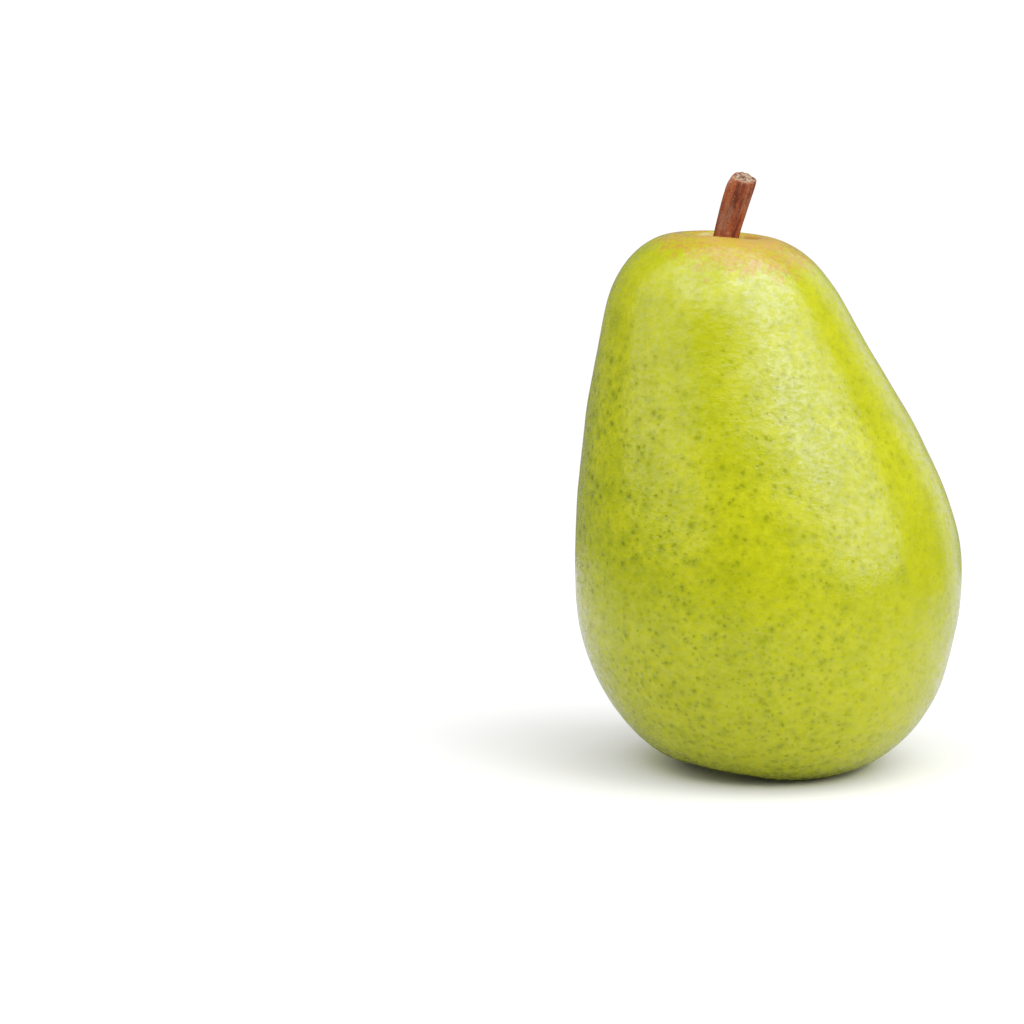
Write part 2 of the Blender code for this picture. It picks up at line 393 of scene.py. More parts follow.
def fit_plan(places, box):
    """Scales places so that, seen from above, they just fill the box."""
    for axis in range(2):
        low, high = places[:, axis].min(), places[:, axis].max()
        scale = (box[1][axis] - box[0][axis]) / (high - low)
        places[:, axis] = box[0][axis] + (places[:, axis] - low) * scale


def fruit_places():
    """The fruit's surface as rings of places, centred in the plan, and where its middle was."""
    radius, height = outline()
    angle = np.linspace(0.0, TAU, AROUND, endpoint=False)
    radius, height, angle = np.broadcast_arrays(radius[:, None], height[:, None], angle)
    swelling = SWELL * radius / (BELLY.radius * MM)
    out = radius + swelling * np.sin(SWELL_WAVES * angle + SWELL_TWIST * height)
    lift = furrow_lift(radius, angle) + puckers(radius, angle)
    x = out * np.cos(angle) + centre_shift(radius, height) + rim_widening(radius, height, angle)
    y = out * np.sin(angle) * DEPTH_RATIO
    low = height < BELLY.height * MM
    z = np.where(low, pressed(height + lift), height - rim_dip(radius, height, angle))
    places = np.stack([x, y, z], axis=-1)
    plan = places[..., :2].reshape(-1, 2)
    middle = (plan.min(0) + plan.max(0)) / 2.0
    places[..., :2] -= middle
    return places, middle


def add_lumps(mesh):
    """Moves the skin in and out along its normals, and fits it to the CAD's plan again."""
    places = np.zeros(len(mesh.vertices) * 3, dtype=np.float32)
    normals = np.zeros_like(places)
    mesh.vertices.foreach_get("co", places)
    mesh.vertex_normals.foreach_get("vector", normals)
    places = places.reshape(-1, 3).astype(float)
    normals = normals.reshape(-1, 3).astype(float)
    moved = places + normals * lumps(places)[:, None]
    near_floor = smooth(1.0 - places[:, 2] / CALM_HEIGHT)[:, None]
    moved = moved * (1.0 - near_floor) + places * near_floor
    moved[:, 2] = np.maximum(moved[:, 2], 0.0)
    fit_plan(moved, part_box("fruit"))
    mesh.vertices.foreach_set("co", moved.astype(np.float32).ravel())
    mesh.update()


def make_fruit():
    """Adds the fruit, and returns where the middle of its plan was before it was centred."""
    places, middle = fruit_places()
    mesh = grid_mesh("pear_fruit", places)
    face_outward(mesh)
    add_lumps(mesh)
    fruit = add_piece("pear_fruit", mesh, skin_material(middle))
    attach(fruit, "root")
    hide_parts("fruit")
    return middle


def on_axis(height, middle):
    """The place on the fruit's centre line at a height in millimetres."""
    shift = float(centre_shift(np.float64(0.0), np.float64(height * MM)))
    return Vector((shift - middle[0], -middle[1], height * MM))


# ---------------------------------------------------------------------------------------------
# The stem


def stem_line(share):
    """The middle line and radius of the stem at shares of its length, in metres."""
    knots = np.array([place + (radius,) for place, radius in STEM_LINE]) * MM
    padded = np.vstack([2.0 * knots[0] - knots[1], knots, 2.0 * knots[-1] - knots[-2]])
    at = np.clip(share, 0.0, 1.0) * (len(knots) - 1)
    first = np.minimum(at.astype(int), len(knots) - 2)
    t = (at - first)[..., None]
    a, b, c, d = (padded[first + k] for k in range(4))
    return 0.5 * (2.0 * b + (c - a) * t + (2.0 * a - 5.0 * b + 4.0 * c - d) * t**2
                  + (3.0 * b - a - 3.0 * c + d) * t**3)


def ridges(angle, share):
    """The stem's lengthwise ribs, grooves and knobs, as a share of its radius."""
    height = 0.0
    for rib in RIBS:
        height += rib.height * math.sin(rib.count * angle + rib.phase + rib.twist * share)
    around = Vector((math.cos(angle), math.sin(angle), 0.0))
    for knob in KNOBS:
        offset = Vector((*knob.seed, share * knob.fine_along))
        height += knob.height * noise.noise(around * knob.fine_round + offset)
    return height


def stem_ring(angles, share, size):
    """One ring of the stem: a share of its length for each angle, and how much of its radius."""
    line = stem_line(share)
    tangent = (stem_line(share + LINE_STEP) - stem_line(share - LINE_STEP))[:, :3]
    tangent /= np.linalg.norm(tangent, axis=1)[:, None]
    side = np.cross(np.array((0.0, 1.0, 0.0)), tangent)
    side /= np.linalg.norm(side, axis=1)[:, None]
    front = np.cross(tangent, side)
    rib = np.array([ridges(a, s) for a, s in zip(angles, share)])
    late = (share / STEM_LENGTH_USED - SHOULDER_START) / (1.0 - SHOULDER_START)
    rounding = SHOULDER[0] - SHOULDER[1] * np.cos(angles)
    rounded = 1.0 - np.square(np.clip(late, 0.0, SHOULDER_END)) * rounding
    radius = (line[:, 3] * (1.0 + rib) * rounded * size)[:, None]
    return line[:, :3] + radius * (side * np.cos(angles)[:, None] + front * np.sin(angles)[:, None])


def stem_end(angles):
    """The share of the stem's line at which the bark ends, for each angle."""
    slope = BREAK_LEAN[0] * np.cos(angles) + BREAK_LEAN[1] * np.sin(angles)
    edge = [Vector((math.cos(angle), math.sin(angle), JAG_SEED)) for angle in angles]
    jags = np.array([noise.noise(place * BREAK_JAGS) for place in edge])
    return STEM_LENGTH_USED - (slope * STEM_END_RADIUS - BREAK_ROUGHNESS * jags) / STEM_LENGTH


def end_roughness(angle, inward):
    """Height of the torn fibres on the broken end, with a hollow over the pith."""
    at = Vector((math.cos(angle), math.sin(angle), 0.0)) * (1.0 - inward)
    fibres = FIBRE_HEIGHT * noise.noise(at * FIBRE_FINENESS + FIBRE_SEED)
    pith = PITH_DEPTH * bell((1.0 - inward) / PITH_WIDTH)
    edge = EDGE_HEIGHT * bell(inward / EDGE_WIDTH)
    return BREAK_ROUGHNESS * (fibres - pith + edge - END_SINK)


def stem_places(angles):
    """The stem's surface as rings of places: up its bark, then inward over the broken end."""
    end = stem_end(angles)
    rings = [stem_ring(angles, share * end, 1.0) for share in np.linspace(0.0, 1.0, STEM_ALONG + 1)]
    for ring in range(1, STEM_END_RINGS):
        inward = ring / STEM_END_RINGS
        share = end * (1.0 - inward) + STEM_LENGTH_USED * inward
        rough = np.array([end_roughness(angle, inward) for angle in angles])
        rings.append(stem_ring(angles, share + rough / STEM_LENGTH, 1.0 - inward))
    return np.array(rings)


def store_bark_places(mesh, angles):
    """Keeps, for the bark, each vertex's place on the straightened stem and if it is on the end."""
    level = np.arange(len(mesh.vertices)) // STEM_AROUND
    past_edge = level - STEM_ALONG
    around = np.tile(angles, len(mesh.vertices) // STEM_AROUND)
    outward = 1.0 - np.clip(past_edge / STEM_END_RINGS, 0.0, 1.0)
    radius = STEM_END_RADIUS * outward
    along = np.minimum(level / STEM_ALONG, 1.0) * STEM_LENGTH
    straight = np.stack([np.cos(around) * radius, np.sin(around) * radius, along], axis=-1)
    store(mesh, "broken", np.clip((past_edge - TORN_START) / TORN_BLEND, 0.0, 1.0))
    store(mesh, "straight", straight)


def make_stem(base):
    angles = np.linspace(0.0, TAU, STEM_AROUND, endpoint=False)
    mesh = grid_mesh("pear_stem", stem_places(angles) + np.array(base))
    face_outward(mesh)
    store_bark_places(mesh, angles)
    stem = add_piece("pear_stem", mesh, bark_material())
    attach(stem, "root")
    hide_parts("stem")


# ---------------------------------------------------------------------------------------------
# The calyx


def add_sepal(shape, turn):
    """Adds a dried sepal as a grid of quads: it runs outward, drops and curls at its tip."""
    wobble = noise.noise(Vector((turn * 3.0, 1.0, 2.0)))
    spin = Matrix.Rotation(turn + SEPAL_UNLIKENESS[1] * wobble, 3, "Z")
    length = SEPAL_LENGTH * (1.0 + SEPAL_UNLIKENESS[0] * wobble)
    rows = []
    for row in range(SEPAL_ROWS + 1):
        t = row / SEPAL_ROWS
        width = SEPAL_WIDTH * (1.0 - t) ** 0.75 * (0.72 + 0.5 * t)  # tapers late
        out = CALYX_RADIUS * 0.8 + length * t * (0.72 - 0.12 * t)  # slows as it turns down
        drop = SEPAL_DROP * t**1.5 - SEPAL_CURL * max(t - 0.7, 0.0) ** 2 * 8.0  # the tip curls
        ripple = SEPAL_RIPPLE * math.sin(9.0 * t + 4.0 * turn)
        rows.append([])
        for column in range(SEPAL_COLUMNS + 1):
            across = 2.0 * column / SEPAL_COLUMNS - 1.0
            fold = SEPAL_FOLD * across**2 * (0.3 + t) + ripple
            place = Vector((out, across * width / 2.0, -drop + fold))
            rows[-1].append(shape.verts.new(spin @ place))
    for near, far in zip(rows, rows[1:]):
        for left in range(SEPAL_COLUMNS):
            shape.faces.new([near[left], near[left + 1], far[left + 1], far[left]])


def make_calyx(base):
    shape = bmesh.new()
    for number in range(SEPALS):
        add_sepal(shape, SEPAL_TURN + TAU * number / SEPALS)
    mesh = bpy.data.meshes.new("pear_calyx")
    shape.to_mesh(mesh)
    shape.free()
    calyx = add_piece("pear_calyx", mesh, calyx_material())
    calyx.location = base - Vector((0.0, 0.0, CALYX_DROP))
    thick = calyx.modifiers.new("thickness", "SOLIDIFY")
    thick.thickness = SEPAL_THICKNESS
    thick.offset = 0.0
    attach(calyx, "root")
    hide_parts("calyx")


def make_calyx_ring(base):
    """The short woody ring that the sepals grow from."""
    half_width, half_height, drop = RING_SIZE
    angle = np.linspace(0.0, TAU, RING_AROUND, endpoint=False)
    ripple = 1.0 + waves(angle, RING_WAVES)
    rings = []
    for turn in np.linspace(0.0, TAU, RING_SECTION, endpoint=False):
        radius = (RING_RADIUS + half_width * math.cos(turn)) * ripple
        height = np.full_like(angle, half_height * math.sin(turn) - drop)
        rings.append(np.stack([radius * np.cos(angle), radius * np.sin(angle), height], axis=-1))
    rings.append(rings[0])
    mesh = grid_mesh("pear_calyx_ring", np.array(rings), closed=False)
    face_outward(mesh, weld=0.001 * MM)
    ring = add_piece("pear_calyx_ring", mesh, calyx_material())
    ring.location = base
    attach(ring, "root")


def make_stamens(base):
    """The withered stamens inside the ring, as thin bent threads."""
    curve = bpy.data.curves.new("pear_stamens", "CURVE")
    curve.dimensions = "3D"
    curve.bevel_depth = STAMEN_RADIUS
    curve.bevel_resolution = 2
    curve.use_fill_caps = True
    curve.materials.append(calyx_material())
    for number in range(STAMENS):
        turn = TAU * number / STAMENS + 0.25 * noise.noise(Vector((number, 0.5, 0.0)))
        bend = 0.5 + 0.5 * noise.noise(Vector((number * 1.7, 3.0, 0.0)))
        spline = curve.splines.new("BEZIER")
        spline.bezier_points.add(2)
        for step, knot in enumerate(spline.bezier_points):
            t = step / 2.0
            out = CALYX_RADIUS * (STAMEN_ROOT[0] - (0.25 + 0.35 * bend) * t)
            swing = turn + 0.5 * (bend - 0.5) * t
            down = -STAMEN_ROOT[1] - STAMEN_LENGTH * t * (0.6 + 0.4 * bend)
            knot.co = (out * math.cos(swing), out * math.sin(swing), down)
            knot.radius = STAMEN_TIP if step == 2 else 1.0
            knot.handle_left_type = "AUTO"
            knot.handle_right_type = "AUTO"
    stamens = bpy.data.objects.new("pear_stamens", curve)
    bpy.context.scene.collection.objects.link(stamens)
    stamens.location = base
    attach(stamens, "root")


# ---------------------------------------------------------------------------------------------
# Materials


class Graph:
    """Short ways to add shader nodes and join them. A value is a number, a tuple or a socket."""

    def __init__(self, name):
        self.material = bpy.data.materials.new(name)
        self.material.use_nodes = True
        self.nodes = self.material.node_tree.nodes
        self.links = self.material.node_tree.links
        self.shader = self.nodes["Principled BSDF"]
        self.patterns = {}  # noise sockets by name

    def put(self, socket, value):
        if isinstance(value, bpy.types.NodeSocket):
            self.links.new(value, socket)
        elif isinstance(value, tuple) and len(value) == 3 and socket.type == "RGBA":
            socket.default_value = (*value, 1.0)
        else:
            socket.default_value = value

    def place(self):
        return self.nodes.new("ShaderNodeTexCoord").outputs["Object"]

    def stored(self, name, output):
        node = self.nodes.new("ShaderNodeAttribute")
        node.attribute_name = name
        return node.outputs[output]

    def number(self, operation, first, second=0.0, third=0.0):
        node = self.nodes.new("ShaderNodeMath")
        node.operation = operation
        for socket, value in zip(node.inputs, (first, second, third)):
            self.put(socket, value)
        return node.outputs[0]

    def vector(self, operation, first, second=(0.0, 0.0, 0.0)):
        node = self.nodes.new("ShaderNodeVectorMath")
        node.operation = operation
        self.put(node.inputs[0], first)
        if operation == "SCALE":
            self.put(node.inputs["Scale"], second)
        else:
            self.put(node.inputs[1], second)
        return node.outputs["Value" if operation == "DISTANCE" else "Vector"]

    def split(self, vector, axis):
        node = self.nodes.new("ShaderNodeSeparateXYZ")
        self.put(node.inputs[0], vector)
        return node.outputs[axis]

    def noise(self, place, size, detail=2.0, rough=0.5, output="Fac"):
        node = self.nodes.new("ShaderNodeTexNoise")
        self.put(node.inputs["Vector"], place)
        node.inputs["Scale"].default_value = 1.0 / size
        node.inputs["Detail"].default_value = detail
        node.inputs["Roughness"].default_value = rough
        return node.outputs[output]

    def cells(self, place, size):
        """Distance to the nearest scattered point, in cell sizes, and a random colour for it."""
        node = self.nodes.new("ShaderNodeTexVoronoi")
        self.put(node.inputs["Vector"], place)
        node.inputs["Scale"].default_value = 1.0 / size
        return node.outputs["Distance"], node.outputs["Color"]

    def between(self, value, low, high, to_low=0.0, to_high=1.0):
        """A soft step: to_low below low, to_high above high. low may be the larger of the two."""
        node = self.nodes.new("ShaderNodeMapRange")
        node.interpolation_type = "SMOOTHSTEP"
        self.put(node.inputs["Value"], value)
        if low > high:
            low, high, to_low, to_high = high, low, to_high, to_low
        node.inputs["From Min"].default_value = low
        node.inputs["From Max"].default_value = high
        node.inputs["To Min"].default_value = to_low
        node.inputs["To Max"].default_value = to_high
        return node.outputs["Result"]

    def mix(self, amount, first, second):
        node = self.nodes.new("ShaderNodeMix")
        node.data_type = "RGBA"
        self.put(node.inputs["Factor"], amount)
        self.put(node.inputs[6], first)
        self.put(node.inputs[7], second)
        return node.outputs[2]

    def layered(self, colour, layers):
        """The colour with others laid over it, each where a noise pattern is in a certain range."""
        for layer in layers:
            pattern = self.patterns[layer.pattern]
            amount = self.between(pattern, layer.start, layer.full, 0.0, layer.amount)
            colour = self.mix(amount, colour, layer.colour)
        return colour

    def bump(self, height, depth, before=None):
        node = self.nodes.new("ShaderNodeBump")
        node.inputs["Strength"].default_value = 1.0
        node.inputs["Distance"].default_value = depth
        self.put(node.inputs["Height"], height)
        if before is not None:
            self.put(node.inputs["Normal"], before)
        return node.outputs["Normal"]

    def relief(self, layers):
        """The normal with bumps from patterns, each with its depth."""
        normal = None
        for name, depth in layers:
            normal = self.bump(self.patterns[name], depth, normal)
        return normal

    def finish(self, **inputs):
        """The material, once values are put in the shader. An underscore stands for a space."""
        for name, value in inputs.items():
            self.put(self.shader.inputs[name.replace("_", " ")], value)
        return self.material


# A colour laid over others: the pattern's values where it starts to show and shows most, how much
Layer = namedtuple("Layer", "pattern start full amount colour")

# The skin: linear colours
LIME = (0.395, 0.435, 0.002)
LIME_PALE = (0.510, 0.535, 0.012)
LIME_DEEP = (0.285, 0.330, 0.001)
OLIVE_PORE = (0.170, 0.178, 0.001)
BROWN_PORE = (0.170, 0.085, 0.008)
RUSSET_TAN = (0.53, 0.260, 0.090)
RUSSET_PINK = (0.48, 0.225, 0.040)
BASIN_BROWN = (0.20, 0.11, 0.03)

# Its noise patterns. Fine marks are wider than tall, so "level" places are stretched along Z.
# "uneven" places are shaken about, so that what is drawn on them is ragged.
Pattern = namedtuple("Pattern", "places size detail rough")
PATTERNS = {
    "broad": Pattern("exact", 26.0 * MM, 2.0, 0.5),
    "patch": Pattern("uneven", 6.0 * MM, 3.0, 0.55),
    "spots": Pattern("level", 1.7 * MM, 2.0, 0.6),
    "grain": Pattern("level", 0.62 * MM, 3.0, 0.7),
    "thinning": Pattern("exact", 19.0 * MM, 2.0, 0.5),
    "streaks": Pattern("uneven", 1.9 * MM, 5.0, 0.75),
    "freckles": Pattern("level", 0.9 * MM, 4.0, 0.75),
    "ripple": Pattern("level", 2.6 * MM, 2.0, 0.55),
    "peel": Pattern("level", 0.95 * MM, 3.0, 0.6),
    "glint": Pattern("exact", 0.30 * MM, 1.0, 0.5),
    "wax": Pattern("level", 1.3 * MM, 4.0, 0.8),
}
LEVEL_STRETCH = (1.0, 1.0, 1.5)
SHAKE = 1.0 * MM
SHAKE_SIZE = 2.2 * MM

# Mottling, from broad to fine
MOTTLES = (
    Layer("broad", 0.36, 0.66, 0.70, LIME_PALE),
    Layer("patch", 0.46, 0.70, 0.55, LIME_PALE),
    Layer("patch", 0.50, 0.28, 0.55, LIME_DEEP),
    Layer("spots", 0.55, 0.28, 0.32, LIME_DEEP),
    Layer("spots", 0.55, 0.78, 0.32, LIME_PALE),
    Layer("grain", 0.56, 0.30, 0.34, LIME_DEEP),
    Layer("grain", 0.52, 0.74, 0.36, LIME_PALE),
)

# Soft steps, as the arguments of between(). The first three go by height, the next by place to the
# right, and the others by the values of a pattern.
PALE_BELOW = (42.0 * MM, 8.0 * MM, 0.0, 0.65)
ABOVE_BELLY = (22.0 * MM, 52.0 * MM)
TOP_FADE = (96.0 * MM, 66.0 * MM, 0.30, 1.0)
RIGHT_FADE = (2.0 * MM, 28.0 * MM, 1.0, 0.6)
THIN_PATCHES = (0.40, 0.58, 0.70, 1.0)
FRECKLED = (0.60, 0.40, 0.30, 1.0)
WAXED = (0.42, 0.58)

# Pores: how far apart their cells are, the largest radius and the share of cells that have one
Dots = namedtuple("Dots", "spacing radius chance")
Pores = namedtuple("Pores", "dots low_dark high_dark")  # darkness below the belly and above it
PORES = (
    Pores(Dots(2.8 * MM, 0.84 * MM, 0.95), 0.42, 0.86),
    Pores(Dots(1.9 * MM, 0.62 * MM, 0.97), 0.56, 0.68),
    Pores(Dots(1.2 * MM, 0.42 * MM, 0.90), 0.62, 0.42),
)
HALO = 2.6  # a pore's green halo, in pore radii
SMALLEST_DOT = 0.45  # against the middling ones
DOT_VARIETY = 0.7
DOT_EDGE = 0.1  # the share of a dot's radius that is fully dark
BROWN_FLECKS = Dots(5.5 * MM, 0.75 * MM, 0.22)
BROWN_AMOUNT = 0.45
RUSSET_FLECKS = Dots(3.4 * MM, 0.8 * MM, 0.45)
RUSSET_FLECK_EDGE = 0.4
RUSSET_FLECK_REACH = (27.0 * MM, 15.0 * MM, 0.0, 0.7)  # a soft step by distance from the russet

# Russet round the stem, measured from a point in front of the cavity's right side. Each band goes
# from its outer edge, over a short blend, to its full amount, and streaks make the edge ragged.
RUSSET_SHIFT = Vector((3.6, -3.0, 0.0)) * MM
Band = namedtuple("Band", "raggedness edge full amount")
PINK_BAND = Band(16.0 * MM, 24.5 * MM, 21.5 * MM, 0.95)
TAN_BAND = Band(7.0 * MM, 14.0 * MM, 11.5 * MM, 0.9)
CORK_BAND = Band(6.0 * MM, 14.0 * MM, 8.0 * MM, 1.0)  # brown skin in the calyx basin
CORK_AMOUNT = 0.8

# Relief, from coarse to fine, and the depth of the pits at the pores
RELIEF = (("ripple", 0.09 * MM), ("peel", 0.055 * MM), ("glint", 0.014 * MM))
PIT_DEPTH = 0.06 * MM
ROUGHNESS = 0.16  # at least, and more where the peel's pattern is high and on the russet
PEEL_ROUGHNESS = 0.20
RUSSET_ROUGHNESS = 0.10


class Skin(Graph):
    """The skin's graph, with its places and its noise patterns by name."""

    def __init__(self, name):
        super().__init__(name)
        exact = self.place()
        shake = self.noise(exact, SHAKE_SIZE, 2.0, output="Color")
        shake = self.vector("SUBTRACT", shake, (0.5, 0.5, 0.5))
        self.places = {
            "exact": exact,
            "level": self.vector("MULTIPLY", exact, LEVEL_STRETCH),
            "uneven": self.vector("ADD", exact, self.vector("SCALE", shake, SHAKE)),
        }
        for title, pattern in PATTERNS.items():
            place = self.places[pattern.places]
            self.patterns[title] = self.noise(place, pattern.size, pattern.detail, pattern.rough)

    def coordinate(self, axis):
        return self.split(self.places["exact"], axis)

    def distance_from(self, point):
        return self.vector("DISTANCE", self.places["exact"], tuple(point))

    def band(self, away, band):
        """1 near, 0 far away, with a ragged edge."""
        ragged = self.number("MULTIPLY_ADD", self.patterns["streaks"], band.raggedness, away)
        return self.between(ragged, band.edge, band.full, 0.0, band.amount)

    def dots(self, kind, edge=DOT_EDGE):
        """Scattered round dots and the halos round them, each from 0 to 1."""
        distance, random = self.cells(self.places["uneven"], kind.spacing)
        ratio = kind.radius / kind.spacing
        chosen = self.between(self.split(random, "X"), kind.chance, kind.chance - 0.05)
        size = self.number("MULTIPLY_ADD", self.split(random, "Y"), DOT_VARIETY, SMALLEST_DOT)
        scaled = self.number("DIVIDE", distance, size)
        dot = self.between(scaled, ratio, ratio * edge)
        halo = self.between(scaled, ratio * HALO, 0.0)
        return self.number("MULTIPLY", dot, chosen), self.number("MULTIPLY", halo, chosen)


def mottled(skin):
    """Green with paler and deeper patches, and paler below."""
    below = skin.between(skin.coordinate("Z"), *PALE_BELOW)
    return skin.mix(below, skin.layered(LIME, MOTTLES), LIME_PALE)


def pore_strength(skin):
    """Pores are faint near the top and at the right, and a little fainter in patches."""
    top = skin.between(skin.coordinate("Z"), *TOP_FADE)
    patchy = skin.between(skin.patterns["thinning"], *THIN_PATCHES)
    right = skin.between(skin.coordinate("X"), *RIGHT_FADE)
    return skin.number("MULTIPLY", skin.number("MULTIPLY", top, patchy), right)


def with_pores(skin, colour):
    """The colour with its pores, and how deep in a pore each place is."""
    high = skin.between(skin.coordinate("Z"), *ABOVE_BELLY)
    fading = pore_strength(skin)
    pits = 0.0
    for kind in PORES:
        dot, halo = skin.dots(kind.dots)
        rise = kind.high_dark - kind.low_dark
        strength = skin.number("MULTIPLY_ADD", high, rise, kind.low_dark)
        strength = skin.number("MULTIPLY", strength, fading)
        colour = skin.mix(skin.number("MULTIPLY", halo, strength), colour, LIME_DEEP)
        dot = skin.number("MULTIPLY", dot, strength)
        colour = skin.mix(dot, colour, OLIVE_PORE)
        pits = skin.number("MAXIMUM", pits, dot)
    return colour, pits


def with_flecks(skin, colour, away):
    """A few brown flecks anywhere, and more of them near the russet."""
    fleck, _ = skin.dots(BROWN_FLECKS)
    colour = skin.mix(skin.number("MULTIPLY", fleck, BROWN_AMOUNT), colour, BROWN_PORE)
    fleck, _ = skin.dots(RUSSET_FLECKS, RUSSET_FLECK_EDGE)
    fleck = skin.number("MULTIPLY", fleck, skin.between(away, *RUSSET_FLECK_REACH))
    return skin.mix(fleck, colour, RUSSET_PINK)


def with_russet(skin, colour, away):
    """The colour with russet round the stem, pink and then tan, and how tan each place is."""
    freckles = skin.between(skin.patterns["freckles"], *FRECKLED)
    pink = skin.band(away, PINK_BAND)
    colour = skin.mix(skin.number("MULTIPLY", pink, freckles), colour, RUSSET_PINK)
    tan = skin.band(away, TAN_BAND)
    return skin.mix(skin.number("MULTIPLY", tan, freckles), colour, RUSSET_TAN), tan


def skin_material(middle):
    skin = Skin("pear_skin")
    away = skin.distance_from(on_axis(CROWN.height, middle) + RUSSET_SHIFT)
    colour, pits = with_pores(skin, mottled(skin))
    colour = with_flecks(skin, colour, away)
    colour, tan = with_russet(skin, colour, away)
    cork = skin.band(skin.distance_from(on_axis(BASIN_FLOOR, middle)), CORK_BAND)
    colour = skin.mix(skin.number("MULTIPLY", cork, CORK_AMOUNT), colour, BASIN_BROWN)

    # Wax gives the skin its gloss: it is patchy, and missing at the pores and on the russet
    normal = skin.bump(skin.number("MULTIPLY", pits, -1.0), PIT_DEPTH, skin.relief(RELIEF))
    rough = skin.number("MULTIPLY_ADD", skin.patterns["peel"], PEEL_ROUGHNESS, ROUGHNESS)
    rough = skin.number("MULTIPLY_ADD", tan, RUSSET_ROUGHNESS, rough)
    wax = skin.between(skin.patterns["wax"], *WAXED)
    dull = skin.number("SUBTRACT", 1.0, skin.number("MAXIMUM", pits, tan))
    return skin.finish(
        Base_Color=colour,
        Roughness=rough,
        IOR=1.5,
        Normal=normal,
        Coat_Weight=skin.number("MULTIPLY", wax, dull),
        Coat_Roughness=0.17,
        Coat_Normal=normal,
        Subsurface_Weight=0.10,
        Subsurface_Radius=(1.0, 0.9, 0.25),
        Subsurface_Scale=0.8 * MM,
    )


# The bark and the broken end: linear colours, one of them a painted highlight
BARK_RED = (0.255, 0.078, 0.036)
BARK_ORANGE = (0.36, 0.120, 0.045)
BARK_DARK = (0.125, 0.036, 0.015)
# A painted highlight: the pale greyish brown of light on the stem's ridges
BARK_PAINTED_HIGHLIGHT = (0.34, 0.175, 0.115)
BARK_SPECK = (0.50, 0.33, 0.23)
WOOD_PALE = (0.36, 0.235, 0.165)
WOOD_TORN = (0.110, 0.055, 0.035)
BARK_LAYERS = (
    Layer("streaks", 0.46, 0.66, 1.00, BARK_ORANGE),
    Layer("streaks", 0.52, 0.36, 0.80, BARK_DARK),
    # lengthwise patches of painted highlight, all round the stem
    Layer("patches", 0.48, 0.66, 0.70, BARK_PAINTED_HIGHLIGHT),
    Layer("grain", 0.54, 0.34, 0.45, BARK_DARK),
    Layer("grain", 0.60, 0.71, 0.75, BARK_SPECK),
)
TORN_LAYERS = (Layer("fibres", 0.42, 0.58, 1.00, WOOD_PALE),)
BARK_RELIEF = (("streaks", 0.20 * MM), ("grain", 0.06 * MM), ("fibres", 0.08 * MM))
STREAK_STRETCH = (1.0, 1.0, 0.16)  # draws streaks out along the stem
# draws the patches of painted highlight out along the stem
PATCH_STRETCH = (1.0, 1.0, 0.3)


def bark_material():
    graph = Graph("pear_bark")
    straight = graph.stored("straight", "Vector")
    streaky = graph.vector("MULTIPLY", straight, STREAK_STRETCH)
    patchy = graph.vector("MULTIPLY", straight, PATCH_STRETCH)
    graph.patterns = {
        "streaks": graph.noise(streaky, 1.3 * MM, 5.0, 0.6),
        # where the painted highlight lies on the bark
        "patches": graph.noise(patchy, 2.4 * MM, 3.0),
        "grain": graph.noise(straight, 0.32 * MM, 3.0, 0.7),
        "fibres": graph.noise(straight, 0.95 * MM, 4.0, 0.7),
    }
    bark = graph.layered(BARK_RED, BARK_LAYERS)
    torn = graph.layered(WOOD_TORN, TORN_LAYERS)
    colour = graph.mix(graph.stored("broken", "Fac"), bark, torn)
    return graph.finish(Base_Color=colour, Roughness=0.62, Normal=graph.relief(BARK_RELIEF))


# The dried calyx: linear colours
SEPAL_DARK = (0.045, 0.026, 0.013)
SEPAL_EDGE = (0.20, 0.12, 0.055)


def calyx_material():
    """Made once, and shared by the sepals, the ring and the stamens."""
    known = bpy.data.materials.get("pear_calyx")
    if known:
        return known
    graph = Graph("pear_calyx")
    grain = graph.noise(graph.place(), 0.7 * MM, 4.0, 0.6)
    colour = graph.mix(graph.between(grain, 0.42, 0.68), SEPAL_DARK, SEPAL_EDGE)
    normal = graph.bump(grain, 0.15 * MM)
    return graph.finish(Base_Color=colour, Roughness=0.85, Normal=normal)


def floor_material():
    """White, and paler to the camera than to the pear, so that its edge is lost in the backdrop."""
    graph = Graph("studio_floor")
    seen = graph.nodes.new("ShaderNodeLightPath").outputs["Is Camera Ray"]
    white = graph.mix(seen, (FLOOR_BOUNCE,) * 3, (FLOOR_SEEN,) * 3)
    return graph.finish(Base_Color=white, Roughness=0.9, Specular_IOR_Level=0.0)


# ---------------------------------------------------------------------------------------------
# Studio


def make_camera():
    data = bpy.data.cameras.new("camera")
    data.sensor_width = SENSOR
    data.lens = LENS
    data.clip_start = 0.01
    camera = bpy.data.objects.new("camera", data)
    bpy.context.scene.collection.objects.link(camera)
    back = Vector((0.0, -math.cos(CAMERA_ELEVATION), math.sin(CAMERA_ELEVATION)))
    camera.location = AIM + back * CAMERA_DISTANCE
    camera.rotation_euler = (-back).to_track_quat("-Z", "Y").to_euler()
    bpy.context.scene.camera = camera


def make_floor():
    bpy.ops.mesh.primitive_circle_add(vertices=FLOOR_SIDES, radius=FLOOR_RADIUS, fill_type="NGON")
    floor = bpy.context.object
    floor.name = "studio_floor"
    floor.data.materials.append(floor_material())


def from_side(azimuth, elevation):
    """Direction towards a light. Azimuth 0 is the camera's side, 90 the right."""
    turn, rise = math.radians(azimuth), math.radians(elevation)
    level = math.cos(rise)
    return Vector((math.sin(turn) * level, -math.cos(turn) * level, math.sin(rise)))


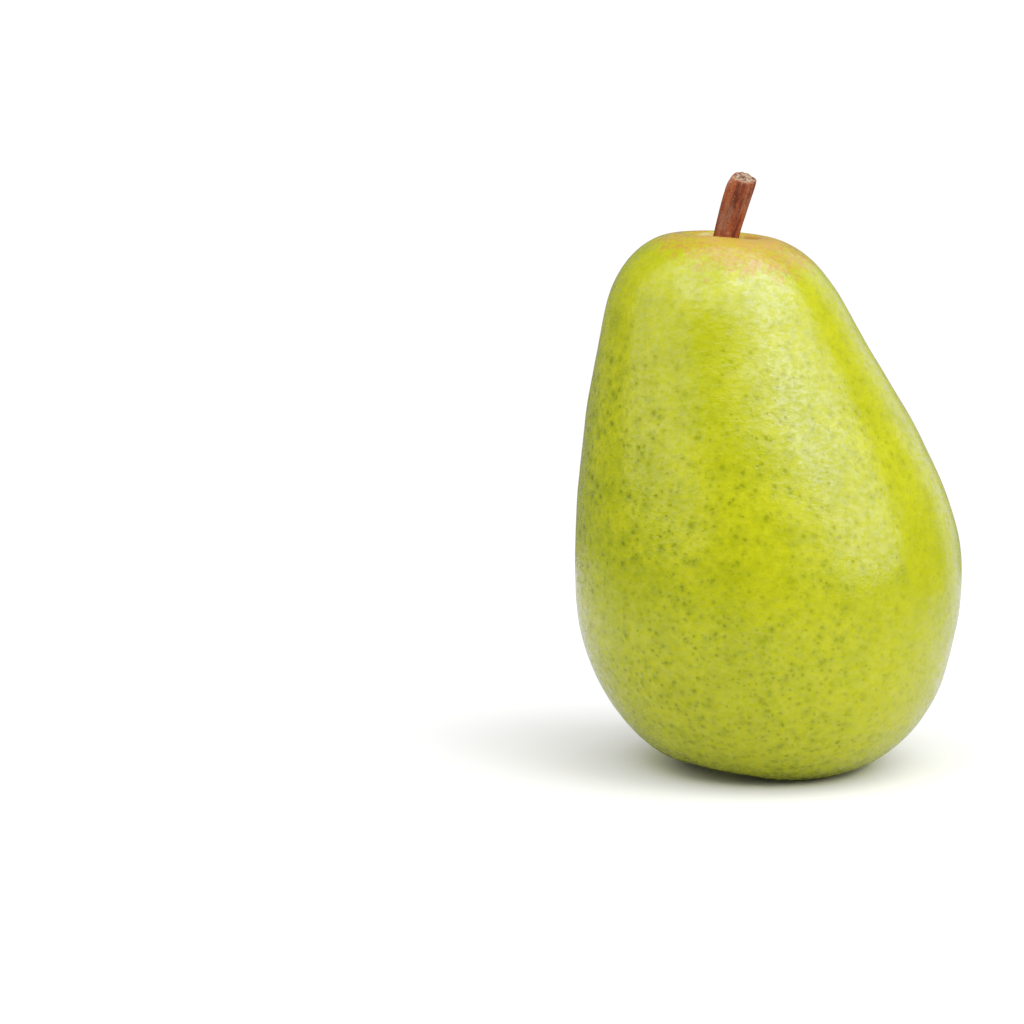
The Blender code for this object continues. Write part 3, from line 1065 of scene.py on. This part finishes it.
def add_lamp(data, way, target):
    lamp = bpy.data.objects.new(data.name, data)
    bpy.context.scene.collection.objects.link(lamp)
    lamp.location = target + way * SOFTBOX_DISTANCE
    lamp.rotation_euler = way.to_track_quat("Z", "Y").to_euler()
    lamp.visible_camera = False


def add_softbox(softbox, target):
    data = bpy.data.lights.new(softbox.name, "AREA")
    data.shape = "RECTANGLE"
    data.size = softbox.width
    data.size_y = softbox.height
    data.energy = softbox.radiance * math.pi * softbox.width * softbox.height
    add_lamp(data, from_side(softbox.azimuth, softbox.elevation), target)


def add_overhead():
    """A broad light from above that keeps the floor white all the way back."""
    data = bpy.data.lights.new("overhead", "SUN")
    data.energy = OVERHEAD_LIGHT
    data.angle = OVERHEAD_SPREAD
    add_lamp(data, from_side(*OVERHEAD_PLACE), Vector())


def make_world():
    """Even white light, and a brighter white backdrop for the camera to see."""
    world = bpy.data.worlds.new("studio")
    world.use_nodes = True
    nodes, links = world.node_tree.nodes, world.node_tree.links
    strength = nodes.new("ShaderNodeMix")
    links.new(nodes.new("ShaderNodeLightPath").outputs["Is Camera Ray"], strength.inputs["Factor"])
    strength.inputs["A"].default_value = WORLD_LIGHT
    strength.inputs["B"].default_value = BACKDROP
    background = nodes["Background"]
    background.inputs["Color"].default_value = (1.0, 1.0, 1.0, 1.0)
    links.new(strength.outputs["Result"], background.inputs["Strength"])
    bpy.context.scene.world = world


def set_tone():
    """Rounds off the brightest tones and deepens the darkest, as a camera does."""
    view = bpy.context.scene.view_settings
    view.view_transform = "Standard"
    view.use_curve_mapping = True
    view.curve_mapping.white_level = (WHITE, WHITE, WHITE)
    for light, shown in TONE:
        view.curve_mapping.curves[3].points.new(light / WHITE, shown)
    view.curve_mapping.update()


def make_studio(box):
    set_tone()
    make_world()
    make_floor()
    make_camera()
    add_overhead()
    low, high = box
    for softbox in SOFTBOXES:
        add_softbox(softbox, (low + high) / 2.0)


def main():
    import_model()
    cad_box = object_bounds()
    middle = make_fruit()
    make_stem(on_axis(CAVITY_FLOOR, middle))
    basin = on_axis(BASIN_FLOOR, middle)
    make_calyx(basin)
    make_calyx_ring(basin)
    make_stamens(basin)
    make_studio(cad_box)


main()
